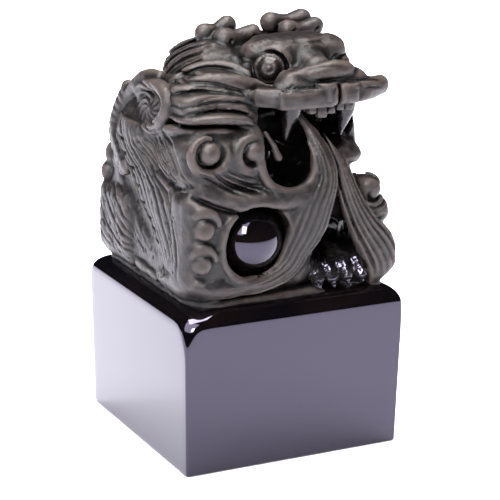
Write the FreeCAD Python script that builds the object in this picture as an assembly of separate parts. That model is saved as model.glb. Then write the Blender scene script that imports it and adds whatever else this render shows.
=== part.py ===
"""Foo dog statue on a square block: the carved members as separate closed solids.

Millimetres, +Z up. The origin is the centre of the block's underside, -Y is the face that the
beast looks out of, and +X is to the right of someone who faces it. The beast's own right side is at -X.
"""
import FreeCAD, Part
import math
import os

V = FreeCAD.Vector

# ---- driving dimensions
BLOCK = 60.0                 # side of the square block
BLOCK_H = 42.0               # height of the block
HALF = BLOCK / 2
FRONT = -HALF                # the plane of the block's front face
GROUND_TOP = BLOCK_H + 1.6   # top of the carved ground that the beast lies on
TOTAL_H = 107.0              # top of the horns
HEAD_X = 8.5                 # the head's middle plane
BALL_R = 8.6                 # polished ball
BALL_AT = V(-9.3, FRONT + BALL_R + 0.4, 57.0)
BALL_GAP = 0.25              # the groove that parts the ball from its socket
EYE_R = 4.1
EYE_AT = V(HEAD_X - 8.8, -14.0, 97.6)
LIP_HALF = 17.2              # half the width of the upper lip
LIP_Z = 91.0                 # height of the upper lip's lower part
CLAW_R = 1.7
CLAW_L = 5.0
CLAWS = 4                    # on the paw beside the ball
EDGE_R = 1.6                 # rounding of the block's edges
GROUND_INSET = 1.7           # from the block's side to the ground's
LID_R = 1.3                  # thickness of the eyelid's band
SCROLL_R = 6.2               # lock of hair that curls in on itself at a shoulder
SCROLL_DEPTH = 5.0
CRUMB = 0.1                  # a solid this small a part of its member is left out


# ---- shapes
def ball(at, r):
    """A sphere."""
    return Part.makeSphere(r, at)


def egg(at, rx, ry, rz):
    """An ellipsoid."""
    m = FreeCAD.Matrix()
    m.scale(rx, ry, rz)
    shape = Part.makeSphere(1.0).transformGeometry(m)
    shape.translate(at)
    return shape


def cone_between(a, b, ra, rb):
    """A round bar from a to b whose radius runs from ra to rb."""
    along = b - a
    if abs(ra - rb) < 1e-6:
        return Part.makeCylinder(ra, along.Length, a, along)
    return Part.makeCone(ra, rb, along.Length, a, along)


def limb(points, radii):
    """Round bars through the points, with a ball at each."""
    parts = [ball(p, r) for p, r in zip(points, radii)]
    for i in range(len(points) - 1):
        parts.append(cone_between(points[i], points[i + 1], radii[i], radii[i + 1]))
    return parts[0].multiFuse(parts[1:]).removeSplitter()


def rounded_box(low, high, r, keep_bottom=True):
    """A box from low to high whose edges are rounded by r, apart from those underneath."""
    size = high - low
    shape = Part.makeBox(size.x, size.y, size.z, low)
    edges = [e for e in shape.Edges if not keep_bottom or e.BoundBox.ZMax > low.z + 1e-6]
    return shape.makeFillet(r, edges)


def plate(outline, y_front, y_back):
    """A plate with a straight-sided outline of (x, z) points, from y_front to y_back."""
    points = [V(x, y_front, z) for x, z in outline]
    face = Part.Face(Part.makePolygon(points + points[:1]))
    return face.extrude(V(0, y_back - y_front, 0))


def slab(outline, y_front, y_back):
    """A plate with a smooth outline of (x, z) points, from y_front to y_back."""
    points = [V(x, y_front, z) for x, z in outline]
    curve = Part.BSplineCurve()
    curve.interpolate(points, PeriodicFlag=True)
    face = Part.Face(Part.Wire([curve.toShape()]))
    return face.extrude(V(0, y_back - y_front, 0))


def mirrored(shape):
    """The same shape on the other side of the head's middle plane."""
    return shape.mirror(V(HEAD_X, 0, 0), V(1, 0, 0))


def in_column(shape):
    """The shape without what stands outside the square column that it is cut from."""
    column = Part.makeBox(BLOCK, BLOCK, TOTAL_H, V(-HALF, -HALF, 0))
    return shape.common(column)


# ---- block, ground and ball
def block():
    box = Part.makeBox(BLOCK, BLOCK, BLOCK_H, V(-HALF, -HALF, 0))
    uprights = [e for e in box.Edges if e.BoundBox.ZLength > 1]
    top = [e for e in box.Edges if e.BoundBox.ZMin > BLOCK_H - 1e-6]
    return box.makeFillet(EDGE_R, uprights + top)


def ground():
    side = HALF - GROUND_INSET
    return rounded_box(V(-side, -side, BLOCK_H), V(side, side, GROUND_TOP), 1.0)


# ---- body
def torso():
    """The body's bulk, which falls away towards the back left corner."""
    outline = [(-24, GROUND_TOP), (-24.5, 58), (-24, 70), (-21.5, 79), (-15, 85), (-7, 89.5), (3, 92.5),
               (14, 93), (21.5, 89.5), (24.5, 82), (25, 70), (25, 56), (24.5, GROUND_TOP), (0, GROUND_TOP)]
    shape = plate(outline, -9, 27.5)
    return shape.makeFillet(4.0, [e for e in shape.Edges if e.BoundBox.YMin > 27])


def chest():
    return rounded_box(V(-27, -21, GROUND_TOP), V(9, -9, 71), 3)


def haunch(side):
    """The thigh, which swells out to the corner of the block."""
    shape = rounded_box(V(-29.4, 2.0, GROUND_TOP), V(-8.0, 29.4, 68.0), 7.5)
    return shape if side < 0 else shape.mirror(V(0, 0, 0), V(1, 0, 0))


def hind_paw(side):
    heel, toe = V(side * 25.0, 9.0, 46.6), V(side * 25.3, -2.0, 46.2)
    return limb([heel, toe], [2.9, 2.5])


def foreleg_right():
    return limb([V(-25.5, 2.5, 84.0), V(-26.2, 9.0, 76.5), V(-26.2, 7.0, 66.0), V(-26.2, -2.0, 57.0),
                 V(-26.2, -12.0, 50.5)], [3.6, 3.4, 3.5, 3.2, 3.0])


def shoulder_scroll(side):
    disc = Part.makeCylinder(SCROLL_R, SCROLL_DEPTH, V(side * 24.8 - SCROLL_DEPTH / 2, -2.0, 88.6), V(1, 0, 0))
    disc = disc.makeFillet(1.6, [e for e in disc.Edges if isinstance(e.Curve, Part.Circle)])
    return in_column(disc)


def forepaw_right():
    return limb([V(-25.5, -13.5, 47.3), V(-25.2, -20.5, 46.4)], [3.6, 2.7])


def foreleg_left():
    return limb([V(25.0, 0.0, 74.0), V(25.2, -2.0, 62.0), V(19.0, -11.0, 52.5)], [4.4, 4.2, 3.6])


def forepaw_left():
    return limb([V(17.8, -14.0, 49.2), V(14.6, -19.2, 48.2)], [4.2, 3.6]).cut(
        Part.makeBox(BLOCK, BLOCK, GROUND_TOP, V(-HALF, -HALF, 0)))


def claws_left():
    claws = []
    for i in range(CLAWS):
        root = V(8.6 + 4.3 * i, -21.4 - 0.5 * i, 49.6)
        claws.append(Part.makeCone(CLAW_R, 0.3, CLAW_L, root, V(0, -0.45, -1.0)))
    return Part.makeCompound(claws)


def claws_right():
    claws = []
    for i in range(3):
        root = V(-27.6 + 2.6 * i, -22.0, 46.4)
        claws.append(Part.makeCone(1.0, 0.25, 3.4, root, V(0, -1.0, -0.5)))
    return Part.makeCompound(claws)


def leg_fringe():
    """Tufts of hair down the back edge of the near foreleg."""
    tufts = []
    for y, z in ((19.4, 84.4), (20.6, 79.4), (18.6, 74.2), (14.6, 69.8)):
        tufts.append(Part.makeCone(2.2, 0.5, 4.8, V(-26.2, y, z), V(-0.1, 0.7, -0.7)))
    return Part.makeCompound([in_column(t) for t in tufts])


def tail():
    return in_column(limb([V(0, 26.4, 50), V(9, 26.2, 47.4), V(17, 25.6, 51), V(18, 25.6, 59)],
                          [3.0, 3.2, 3.2, 2.6]))


def tail_curl():
    return in_column(egg(V(15.0, 26.0, 66.5), 5.2, 3.6, 5.2))


# ---- ball, ribbon and the scrolls beside it
def ribbon_loop():
    outline = [(6.6, 83.0), (10.8, 82.0), (11.8, 72), (10.6, 58.5), (4.5, 49.2), (-5, 44.2), (-16, 44.0),
               (-25.5, 45.4), (-24.5, 48.4), (-15.5, 46.8), (-6.5, 47.9), (-0.2, 52.5), (2.4, 59.5),
               (3.4, 66), (5.2, 75)]
    return slab(outline, FRONT + 1.0, -20.5)


def ribbon_tail():
    return limb([V(11.8, -23.5, 80.0), V(15.6, -25.0, 68.5), V(20.2, -26.2, 58.0), V(25.6, -26.6, 48.0)],
                [1.3, 2.2, 3.0, 3.3])


def ribbon_curl_upper():
    return limb([V(25.2, -24.6, 60.2), V(24.6, -24.6, 65.4)], [4.0, 3.6])


def ribbon_curl_lower():
    return limb([V(23.8, -22.0, 53.0), V(26.6, -22.4, 50.2)], [3.2, 3.3])


def corner_scrolls():
    bar = limb([V(-25.3, -25.3, 70.0), V(-25.6, -25.3, 62.5), V(-25.4, -25.3, 53.5), V(-25.2, -24.8, 47.6)],
               [3.0, 4.3, 4.2, 3.2])
    return in_column(bar)


def ribbon_bosses():
    return Part.makeCompound([ball(V(-25.6, -27.0, 62.8), 2.5), ball(V(-25.7, -27.0, 54.0), 2.5)])


# ---- head
def cranium():
    return egg(V(HEAD_X, -3.0, 95.0), 15.0, 14.0, 9.6)


def muzzle():
    """The upper jaw, from the cranium to the back of the lip."""
    return rounded_box(V(HEAD_X - 13.5, -25.5, LIP_Z - 2.4), V(HEAD_X + 13.5, -8, 97.0), 2.4, keep_bottom=False)


def upper_lip():
    y, z = -26.2, LIP_Z + 1.6
    points = [V(HEAD_X - LIP_HALF + 2.6, y + 0.6, z), V(HEAD_X, y - 0.5, z), V(HEAD_X + LIP_HALF - 2.6, y + 0.6, z)]
    return limb(points, [2.6, 3.0, 2.6])


def nose():
    z = 98.6
    return limb([V(HEAD_X - 9.0, -21.6, z - 0.8), V(HEAD_X - 4.5, -23.6, z), V(HEAD_X, -24.4, z + 0.4),
                 V(HEAD_X + 4.5, -23.6, z), V(HEAD_X + 9.0, -21.6, z - 0.8)], [2.1, 2.2, 2.4, 2.2, 2.1])


def brow():
    return limb([V(HEAD_X - 4.6, -13.8, 102.6), V(HEAD_X, -16.0, 102.2), V(HEAD_X + 4.6, -13.8, 102.6)],
                [3.3, 3.6, 3.3])


def eye():
    return ball(EYE_AT, EYE_R)


def eyelid():
    """The band that arches over the near eye."""
    arch = []
    for step in range(5):
        turn = math.radians(25 + 32.5 * step)
        arch.append(EYE_AT + V(math.cos(turn) * (EYE_R + 1.1), 0.6, math.sin(turn) * (EYE_R + 0.9)))
    return limb(arch, [1.3] * len(arch))


def horn():
    """A low two-pronged horn, as a cloud scroll with rounded lobes."""
    root, crook = V(HEAD_X - 8.0, -5.5, 101.4), V(HEAD_X - 10.5, 1.5, 102.4)
    lobes = [V(HEAD_X - 13.2, 6.0, 102.6), V(HEAD_X - 8.6, 8.5, 104.0)]
    shape = limb([root, crook, lobes[0]], [2.6, 2.9, 2.5])
    return shape.fuse(limb([crook, lobes[1]], [2.6, 2.6])).removeSplitter()


def ear():
    return limb([V(HEAD_X - 15.0, -3.0, 96.5), V(HEAD_X - 19.0, 1.5, 98.8)], [3.4, 2.0])


def cheek():
    """The broad lower cheek of the beast's right side, which carries two bosses."""
    return egg(V(-16.3, -18.4, 79.6), 13.0, 9.4, 9.0)


def cheek_bosses():
    return Part.makeCompound([ball(V(-21.6, -27.0, 81.2), 2.9), ball(V(-9.6, -26.0, 80.0), 2.3)])


def far_cheek():
    return egg(V(20.4, -9.4, 80.0), 3.6, 7.4, 9.4)


def lower_jaw():
    """The hanging jaw: a bowed bar from one corner of the mouth to the other."""
    return limb([V(-11.8, -20.0, 74.5), V(-5.5, -22.8, 69.6), V(2.0, -23.4, 67.6), V(9.5, -22.8, 68.2),
                 V(15.5, -20.0, 71.2), V(19.5, -14.0, 75.0)], [3.6, 3.5, 3.4, 3.4, 3.3, 3.0])


def jaw_floor():
    """The bed of the mouth, between the jaw's bar and the throat."""
    return rounded_box(V(-7, -21.5, 66.0), V(18.5, -8, 71.5), 2.0)


def throat():
    """The back wall of the mouth."""
    return rounded_box(V(-9, -9, 71.0), V(22, -2, 90.0), 2.0)


def upper_fang(side):
    root = V(HEAD_X + side * 7.6, -20.0, LIP_Z - 1.4)
    return Part.makeCone(2.2, 0.4, 8.0, root, V(0, 0, -1))


def lower_fang(side):
    root = V(HEAD_X + side * 10.6, -20.0, 74.0)
    return Part.makeCone(1.5, 0.3, 7.0, root, V(0, 0, 1))


def incisors():
    """Six small front teeth under the lip, and the wide one at its middle."""
    teeth = []
    for i in range(6):
        x = HEAD_X - 6.25 + 2.5 * i
        teeth.append(Part.makeBox(2.0, 1.8, 3.0, V(x - 1.0, -25.8, LIP_Z - 4.6)))
    return Part.makeCompound(teeth)


def lip_tooth():
    tooth = Part.makeBox(3.6, 2.6, 5.6, V(HEAD_X - 1.8 - 1.2, FRONT + 0.4, LIP_Z - 1.6))
    return tooth.makeChamfer(0.6, tooth.Edges)


# ---- mane
def mane_right():
    return in_column(egg(V(-17.5, -9.5, 88.0), 12.0, 11.5, 7.6))


def mane_left():
    return egg(V(21.2, 3.5, 88.0), 6.0, 11.0, 9.5)


def mane_back():
    return egg(V(4.5, 9.5, 91.0), 20.5, 12.5, 11.5)


def mane_lock():
    """Locks that run from the cheek down the near side of the neck."""
    return in_column(limb([V(-24.5, -9.0, 82.5), V(-25.8, -14.0, 76.0), V(-26.6, -21.0, 71.6)], [4.4, 3.9, 2.7]))


# Members in order: each is cut back by those before it, so that they meet face to face.
MEMBERS = [
    ("block", block), ("ball", lambda: ball(BALL_AT, BALL_R)),
    ("eye_right", eye), ("eye_left", lambda: mirrored(eye())),
    ("lip_tooth", lip_tooth), ("incisors", incisors),
    ("upper_fang_right", lambda: upper_fang(-1)), ("upper_fang_left", lambda: upper_fang(1)),
    ("lower_fang_right", lambda: lower_fang(-1)), ("lower_fang_left", lambda: lower_fang(1)),
    ("claws_left", claws_left), ("claws_right", claws_right),
    ("cheek_bosses", cheek_bosses), ("ribbon_bosses", ribbon_bosses),
    ("nose", nose), ("upper_lip", upper_lip),
    ("eyelid_right", eyelid), ("eyelid_left", lambda: mirrored(eyelid())),
    ("horn_right", horn), ("horn_left", lambda: mirrored(horn())),
    ("brow", brow), ("lower_jaw", lower_jaw), ("ribbon_loop", ribbon_loop), ("ribbon_tail", ribbon_tail),
    ("ribbon_curl_upper", ribbon_curl_upper), ("ribbon_curl_lower", ribbon_curl_lower),
    ("ground", ground),
    ("forepaw_right", forepaw_right), ("forepaw_left", forepaw_left),
    ("hind_paw_right", lambda: hind_paw(-1)), ("hind_paw_left", lambda: hind_paw(1)),
    ("shoulder_scroll_right", lambda: shoulder_scroll(-1)),
    ("shoulder_scroll_left", lambda: shoulder_scroll(1)),
    ("foreleg_right", foreleg_right), ("foreleg_left", foreleg_left),
    ("corner_scrolls", corner_scrolls), ("tail_curl", tail_curl), ("tail", tail),
    ("leg_fringe", leg_fringe), ("muzzle", muzzle), ("ear_right", ear), ("ear_left", lambda: mirrored(ear())),
    ("cranium", cranium), ("cheek_right", cheek), ("cheek_left", far_cheek), ("mane_lock", mane_lock),
    ("mane_right", mane_right), ("mane_left", mane_left),
    ("haunch_right", lambda: haunch(-1)), ("haunch_left", lambda: haunch(1)),
    ("jaw_floor", jaw_floor), ("throat", throat), ("mane_back", mane_back), ("chest", chest), ("torso", torso),
]


def whole_solids(shape):
    """The shape's solids, without the crumbs that the cuts leave."""
    largest = max(s.Volume for s in shape.Solids)
    return [s for s in shape.Solids if s.Volume > CRUMB * largest]


def main():
    os.makedirs("parts", exist_ok=True)
    socket = ball(BALL_AT, BALL_R + BALL_GAP)
    done = []
    for name, make in MEMBERS:
        shape = make()
        box = shape.BoundBox
        for other_name, other in done:
            if box.intersect(other.BoundBox):
                shape = shape.cut(socket if other_name == "ball" else other)
        solids = whole_solids(shape)
        shape = Part.makeCompound(solids) if len(solids) > 1 else solids[0]
        done.append((name, shape))
        shape.exportStep("parts/%s.step" % name)
        print("%-22s solids %d  volume %8.1f  valid %s" % (name, len(solids), shape.Volume, shape.isValid()))


main()
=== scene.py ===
"""Foo dog statue: the look of a guardian lion carved over a polished block of black stone.

The carving is sculpted on a grid of signed distances, in design millimetres in the CAD's frame. Every
member has its own distances; blended together they give one skin, and each member keeps the part of
that skin that it is nearest to, closed off inside, as a mesh of its own.
"""

import bpy
import math
import numpy as np
from mathutils import Matrix, Vector


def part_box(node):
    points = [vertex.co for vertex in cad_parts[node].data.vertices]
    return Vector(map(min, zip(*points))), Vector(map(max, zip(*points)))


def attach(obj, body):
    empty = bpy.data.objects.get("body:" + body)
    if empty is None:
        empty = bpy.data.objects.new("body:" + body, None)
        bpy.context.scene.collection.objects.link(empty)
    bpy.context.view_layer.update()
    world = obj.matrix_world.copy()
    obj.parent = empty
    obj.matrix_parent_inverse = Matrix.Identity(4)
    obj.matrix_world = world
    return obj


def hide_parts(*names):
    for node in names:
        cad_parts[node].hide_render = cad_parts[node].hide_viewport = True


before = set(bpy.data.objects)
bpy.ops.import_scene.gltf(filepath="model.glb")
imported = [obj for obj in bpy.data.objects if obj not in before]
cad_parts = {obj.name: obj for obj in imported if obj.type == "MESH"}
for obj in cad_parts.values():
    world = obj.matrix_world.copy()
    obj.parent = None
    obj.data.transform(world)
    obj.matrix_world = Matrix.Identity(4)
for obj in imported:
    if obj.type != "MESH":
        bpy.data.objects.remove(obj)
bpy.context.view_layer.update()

# ---- sizes, in design millimetres on a block 60 wide
BLOCK_LOW, BLOCK_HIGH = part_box("block")
UNIT = (BLOCK_HIGH[0] - BLOCK_LOW[0]) / 60.0
BLOCK_TOP = (BLOCK_HIGH[2] - BLOCK_LOW[2]) / UNIT
HALF = 30.0
STEP = 0.35    # the grid's spacing
EDGE = 31.0                           # how far out the clay reaches, just past the column's sides
CLAY_DEPTH, CLAY_TOP = 2.2, 109       # how far it reaches down into the block, and up
CAP = 2.5                             # distances are kept up to this far from a surface
THIN_DEPTH, THIN_CELL = -0.7, 8       # deeper than this the mesh is thinned, to cells of so many steps
HEAD_X = 8.5                          # the head's middle plane
BALL_LOW, BALL_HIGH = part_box("ball")
BALL_R = (BALL_HIGH[0] - BALL_LOW[0]) / UNIT / 2
BALL_AT = (np.array(BALL_LOW) + np.array(BALL_HIGH)) / UNIT / 2
EYE_AT = np.array([-0.3, -14.2, 97.2])
EYE_R = 4.1
EYE_LOOK = np.array([-0.52, -0.82, 0.2]) / math.sqrt(0.52 ** 2 + 0.82 ** 2 + 0.2 ** 2)


# ---- curves
def bend(points, steps=5):
    """A smooth curve through the points; every column is carried along, such as a radius."""
    p = np.array(points, float)
    if len(p) < 3:
        return p
    ends = np.vstack([2 * p[0] - p[1], p, 2 * p[-1] - p[-2]])
    out = []
    for i in range(1, len(ends) - 2):
        a, b, c, d = ends[i - 1:i + 3]
        for t in np.arange(steps) / steps:
            out.append(0.5 * (2 * b + (c - a) * t + (2 * a - 5 * b + 4 * c - d) * t ** 2
                + (3 * b - a - 3 * c + d) * t ** 3))
    out.append(p[-1])
    return np.array(out)


def plane(normal):
    """Two directions square to a normal and to each other, the first of them level."""
    u = np.cross(normal, (0, 0, 1.0))
    u /= np.linalg.norm(u)
    return u, np.cross(u, normal)


def coil(centre, normal, start, end, turns, thick_start, thick_end, first, steps):
    """Points and radii of a spiral round a centre, in the plane square to a normal."""
    u, v = plane(np.array(normal, float) / np.linalg.norm(normal))
    rows = []
    for t in np.linspace(0, 1, steps):
        turn = math.radians(first) + turns * 2 * math.pi * t
        r = start + (end - start) * t
        at = np.array(centre) + (u * math.cos(turn) + v * math.sin(turn)) * r
        rows.append([*at, thick_start + (thick_end - thick_start) * t])
    return np.array(rows)


# ---- shapes: lists of (low corner, high corner, distance function)
def egg(centre, radii):
    """An ellipsoid."""
    c, r = np.array(centre, float), np.array(radii, float)

    def distance(x, y, z):
        p = x - c[0], y - c[1], z - c[2]
        k0 = np.sqrt((p[0] / r[0]) ** 2 + (p[1] / r[1]) ** 2 + (p[2] / r[2]) ** 2)
        k1 = np.sqrt((p[0] / r[0] ** 2) ** 2 + (p[1] / r[1] ** 2) ** 2 + (p[2] / r[2] ** 2) ** 2)
        return k0 * (k0 - 1) / np.maximum(k1, 1e-6)
    return [(c - r, c + r, distance)]


def brick(centre, half, r, turn=None):
    """A box with rounded edges of radius r, turned by a matrix if there is one."""
    c, h = np.array(centre, float), np.array(half, float)
    reach = np.full(3, np.linalg.norm(h)) if turn is not None else h

    def distance(x, y, z):
        p = local((x - c[0], y - c[1], z - c[2]), turn)
        q = [np.abs(p[i]) - (h[i] - r) for i in range(3)]
        outside = np.sqrt(sum(np.maximum(s, 0) ** 2 for s in q))
        return outside + np.minimum(np.maximum(np.maximum(q[0], q[1]), q[2]), 0) - r
    return [(c - reach, c + reach, distance)]


def local(p, turn):
    """A point in the directions of a turned shape."""
    if turn is None:
        return p
    return [turn[0][i] * p[0] + turn[1][i] * p[1] + turn[2][i] * p[2] for i in range(3)]


def tilt(axis, degrees):
    """A turn about X, Y or Z, as three rows."""
    return [list(row) for row in Matrix.Rotation(math.radians(degrees), 3, axis)]


def tube(rows, squash=(1, 1, 1)):
    """A rod through rows of (x, y, z, radius). A squash of 2 along an axis makes it half as thick there."""
    rows = np.array(rows, float)
    s = np.array(squash, float)
    parts = []
    for a, b in zip(rows[:-1], rows[1:]):
        reach = max(a[3], b[3]) / s
        low, high = np.minimum(a[:3], b[:3]) - reach, np.maximum(a[:3], b[:3]) + reach
        parts.append((low, high, segment(a, b, s)))
    return parts


def segment(a, b, s):
    """The distance to one straight piece of a rod."""
    along = (b[:3] - a[:3]) * s
    length2 = max(float(along @ along), 1e-9)

    def distance(x, y, z):
        px, py, pz = (x - a[0]) * s[0], (y - a[1]) * s[1], (z - a[2]) * s[2]
        t = np.clip((px * along[0] + py * along[1] + pz * along[2]) / length2, 0, 1)
        gap = np.sqrt((px - t * along[0]) ** 2 + (py - t * along[1]) ** 2 + (pz - t * along[2]) ** 2)
        return gap - (a[3] + (b[3] - a[3]) * t)
    return distance


def soft_min(a, b, k):
    """The lesser of two distances, blended over a width of k."""
    h = np.maximum(k - np.abs(a - b), 0) / k
    return np.minimum(a, b) - h * h * k * 0.25


# ---- the clay
class Clay:
    """The grid: the whole skin's distances, how bare and glassy the stone is, and each member's own."""

    def __init__(self, low, high, step):
        self.low, self.step = np.array(low, float), step
        self.count = np.ceil((np.array(high) - self.low) / step).astype(int) + 1
        self.ticks = [(self.low[i] + step * np.arange(self.count[i])).astype(np.float32) for i in range(3)]
        self.whole = np.full(self.count, CAP, np.float32)
        self.bare = np.zeros(self.count, np.float32)
        self.members = {}

    def window(self, low, high):
        """The part of the grid between two corners."""
        a = np.clip(np.floor((np.array(low) - self.low) / self.step).astype(int), 0, self.count - 2)
        b = np.clip(np.ceil((np.array(high) - self.low) / self.step).astype(int) + 1, a + 2, self.count)
        return tuple(slice(int(i), int(j)) for i, j in zip(a, b))

    def around(self, parts):
        """The window that a shape's parts can change."""
        low = np.min([p[0] for p in parts], axis=0) - CAP
        return self.window(low, np.max([p[1] for p in parts], axis=0) + CAP)

    def axes(self, w):
        """The window's coordinates, shaped to be combined."""
        x, y, z = (self.ticks[i][w[i]] for i in range(3))
        return x[:, None, None], y[None, :, None], z[None, None, :]

    def lay(self, field, w, parts, blend, cut=False):
        """Joins a shape to a field that covers window w, or cuts it out."""
        outer = overlap(w, self.around(parts))
        if outer is None:
            return
        fresh = np.full([s.stop - s.start for s in outer], CAP, np.float32)
        for a, b, distance in parts:
            inner = overlap(outer, self.window(a - CAP, b + CAP))
            if inner is None:
                continue
            spot = relative(inner, outer)
            fresh[spot] = np.minimum(fresh[spot], distance(*self.axes(inner)))
        spot = relative(outer, w)
        if cut:
            field[spot] = -soft_min(-field[spot], fresh, blend)
        else:
            field[spot] = soft_min(field[spot], fresh, blend)

    def member(self, name, shapes, blend=1.0, join=0.6, marks=(), gloss=False):
        """A new member made of shapes, with marks cut into it or raised on it, joined to the rest.
        With gloss it is bare and glassy."""
        w = self.around([part for shape in shapes for part in shape])
        own = np.full([s.stop - s.start for s in w], CAP, np.float32)
        for shape in shapes:
            self.lay(own, w, shape, blend)
        for mark in marks:
            self.mark(own, w, mark)
        self.members[name] = (w, own)
        self.whole[w] = soft_min(self.whole[w], own, join)
        self.bare[w] *= np.clip(own - 0.3, 0, 1)
        if gloss:
            self.bare[w] = np.maximum(self.bare[w], np.clip(1.2 - own, 0, 0.85))

    def carve(self, shape, blend=0.8, gloss=False, only=None):
        """Cuts a shape out of everything there so far, or out of one member only. With gloss, the
        stone that is left round the cut is bare and glassy."""
        w = self.around(shape)
        region = self.whole[w]
        self.lay(region, w, shape, blend, cut=True)
        for name, (v, own) in self.members.items():
            if only in (None, name) and overlap(v, w) is not None:
                self.lay(own, v, shape, blend, cut=True)
        if gloss:
            near = np.full(region.shape, CAP, np.float32)
            self.lay(near, w, shape, blend)
            self.bare[w] = np.maximum(self.bare[w], np.clip(1.3 - near, 0, 1))

    def mark(self, field, w, mark):
        """A groove or ridge drawn along a curve, seen along one axis, in a band of depth there."""
        curve, axis, band, width, depth, taper = mark
        keep = [i for i in range(3) if i != axis]
        low, high = np.empty(3), np.empty(3)
        for column, i in enumerate(keep):
            low[i], high[i] = curve[:, column].min() - 2.4 * width, curve[:, column].max() + 2.4 * width
        low[axis], high[axis] = band
        inner = overlap(w, self.window(low, high))
        if inner is None:
            return
        u = self.ticks[keep[0]][inner[keep[0]]][:, None]
        v = self.ticks[keep[1]][inner[keep[1]]][None, :]
        gap, along = np.full((u.size, v.size), 1e6, np.float32), np.zeros((u.size, v.size), np.float32)
        pieces = len(curve) - 1
        for i in range(pieces):
            a, d = curve[i], curve[i + 1] - curve[i]
            t = np.clip(((u - a[0]) * d[0] + (v - a[1]) * d[1]) / max(float(d @ d), 1e-9), 0, 1)
            g = np.hypot(u - a[0] - t * d[0], v - a[1] - t * d[1])
            near = g < gap
            gap[near], along[near] = g[near], ((i + t) / pieces)[near]
        strength = depth * np.exp(-(gap / width) ** 2)
        if taper:
            strength *= np.clip(np.minimum(along, 1 - along) * 5, 0, 1) ** 0.7
        field[relative(inner, w)] += np.expand_dims(strength.astype(np.float32), axis)

    def draw(self, mark):
        """A mark on whatever is there."""
        self.mark(self.whole, tuple(slice(0, int(n)) for n in self.count), mark)

    def roughen(self, spacing, amount, seed):
        """Smooth unevenness of the skin."""
        self.whole += amount * value_noise(self.count, spacing / self.step, seed)


def overlap(a, b):
    """The window that two windows share, or None."""
    out = tuple(slice(max(p.start, q.start), min(p.stop, q.stop)) for p, q in zip(a, b))
    return out if all(s.stop - s.start > 0 for s in out) else None


def relative(inner, outer):
    """An inner window, counted from the start of the outer one."""
    return tuple(slice(p.start - q.start, p.stop - q.start) for p, q in zip(inner, outer))


def value_noise(count, spacing, seed):
    """Smooth random values from -1 to 1 on a grid."""
    rng = np.random.default_rng(seed)
    values = rng.uniform(-1, 1, [int(n / spacing) + 3 for n in count]).astype(np.float32)
    for axis in range(3):
        at = np.arange(count[axis]) / spacing
        low = at.astype(int)
        t = (at - low).astype(np.float32)
        t = t * t * (3 - 2 * t)
        shape = [1, 1, 1]
        shape[axis] = -1
        t = t.reshape(shape)
        values = np.take(values, low, axis) * (1 - t) + np.take(values, low + 1, axis) * t
    return values


def below(place):
    """A mark's band from the clay's edge at -X or -Y in to a place."""
    return (-EDGE, place)


def above(place):
    """A mark's band from a place out to the clay's edge at +X or +Y."""
    return (place, EDGE)


def flat(points, axis, band, width, depth, taper=True):
    """A mark through points in the plane square to an axis."""
    return (bend(points), axis, band, width, depth, taper)


def grooves(axis, band, *lines):
    """Marks from lines of (width, depth, points)."""
    return [flat(points, axis, band, width, depth) for width, depth, points in lines]


def comb(first, last, count, axis, band, width, depth):
    """Marks for strands of hair that lie between two curves."""
    ends = []
    for points in (bend(first), bend(last)):
        t = np.linspace(0, 1, len(points))
        ends.append(np.stack([np.interp(np.linspace(0, 1, 14), t, points[:, i]) for i in (0, 1)], axis=1))
    a, b = ends
    marks = []
    for i in range(count):
        finer = i % 2
        marks.append((a + (b - a) * (i / (count - 1)), axis, band, width * (1 - 0.3 * finer),
            depth * (1 - 0.45 * finer), True))
    return marks


def strands(rows, offsets, axis, band, width, depth):
    """Marks that run along a tube's rows, at shares of its radius to either side."""
    keep = [i for i in range(3) if i != axis]
    rows = np.array(rows)
    line = rows[:, keep]
    tangent = np.gradient(line, axis=0)
    tangent /= np.maximum(np.linalg.norm(tangent, axis=1, keepdims=True), 1e-6)
    side = np.stack([-tangent[:, 1], tangent[:, 0]], axis=1)
    return [(line + side * rows[:, 3:4] * share, axis, band, width, depth, True) for share in offsets]


# ---- meshes from the clay
CORNERS = [(i, j, k) for i in (0, 1) for j in (0, 1) for k in (0, 1)]


def shifted(a, corner):
    """The values at one corner of every cell."""
    i, j, k = corner
    n = a.shape
    return a[i:n[0] - 1 + i, j:n[1] - 1 + j, k:n[2] - 1 + k]


def skin(field):
    """Vertices and quads of the surface where a field changes sign, in grid steps."""
    field = np.pad(field, 1, constant_values=CAP)
    inside = field < 0
    tally = sum(shifted(inside, c).astype(np.uint8) for c in CORNERS)
    cells = np.nonzero((tally > 0) & (tally < 8))
    number = np.full(tally.shape, -1, np.int64)
    number[cells] = np.arange(len(cells[0]))
    base = np.stack(cells, axis=1)
    total, hits = np.zeros((len(base), 3)), np.zeros((len(base), 1))
    for axis in range(3):
        step = np.zeros(3, int)
        step[axis] = 1
        for c in CORNERS:
            if c[axis]:
                continue
            a, b = base + c, base + c + step
            fa, fb = field[tuple(a.T)], field[tuple(b.T)]
            crosses = (fa < 0) != (fb < 0)
            t = np.where(crosses, fa / np.where(crosses, fa - fb, 1), 0)
            point = a + step * t[:, None]
            total += point * crosses[:, None]
            hits += crosses[:, None]
    verts = total / hits - 1
    quads = []
    for axis in range(3):
        one, two = [i for i in range(3) if i != axis]
        n = field.shape[axis]
        edge = np.take(inside, range(n - 1), axis) != np.take(inside, range(1, n), axis)
        spots = np.stack(np.nonzero(edge), axis=1)
        ring = []
        for d1, d2 in ((0, 0), (1, 0), (1, 1), (0, 1)):
            q = spots.copy()
            q[:, one] -= d1
            q[:, two] -= d2
            ring.append(number[tuple(q.T)])
        quad = np.stack(ring, axis=1)
        forward = inside[tuple(spots.T)]
        if axis == 1:
            forward = ~forward
        quad[~forward] = quad[~forward][:, ::-1]
        quads.append(quad)
    return verts, np.concatenate(quads)


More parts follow.
